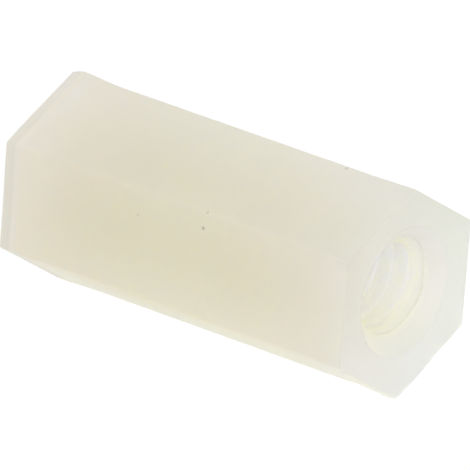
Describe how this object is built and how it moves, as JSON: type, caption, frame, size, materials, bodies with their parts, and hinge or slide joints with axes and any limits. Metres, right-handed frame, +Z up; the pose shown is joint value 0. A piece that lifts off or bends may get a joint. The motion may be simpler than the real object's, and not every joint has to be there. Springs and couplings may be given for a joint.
{
  "type": "hex standoff",
  "caption": "Hexagonal plastic standoff, threaded right through, that spaces and joins two panels or boards by a screw in each end.",
  "frame": {"origin": "middle of the flat that the standoff lies on, under the middle of its length", "axes": "+X along the thread's axis, from the bevelled end to the square end; +Z up, square to the flat it lies on; +Y across the corners"},
  "size_m": [0.016, 0.008, 0.007],
  "materials": {
    "natural_nylon": "natural polyamide, milky and slightly see-through, smooth as moulded with a soft satin sheen"
  },
  "bodies": {
    "root": {"standoff": "natural_nylon"}
  },
  "joints": []
}
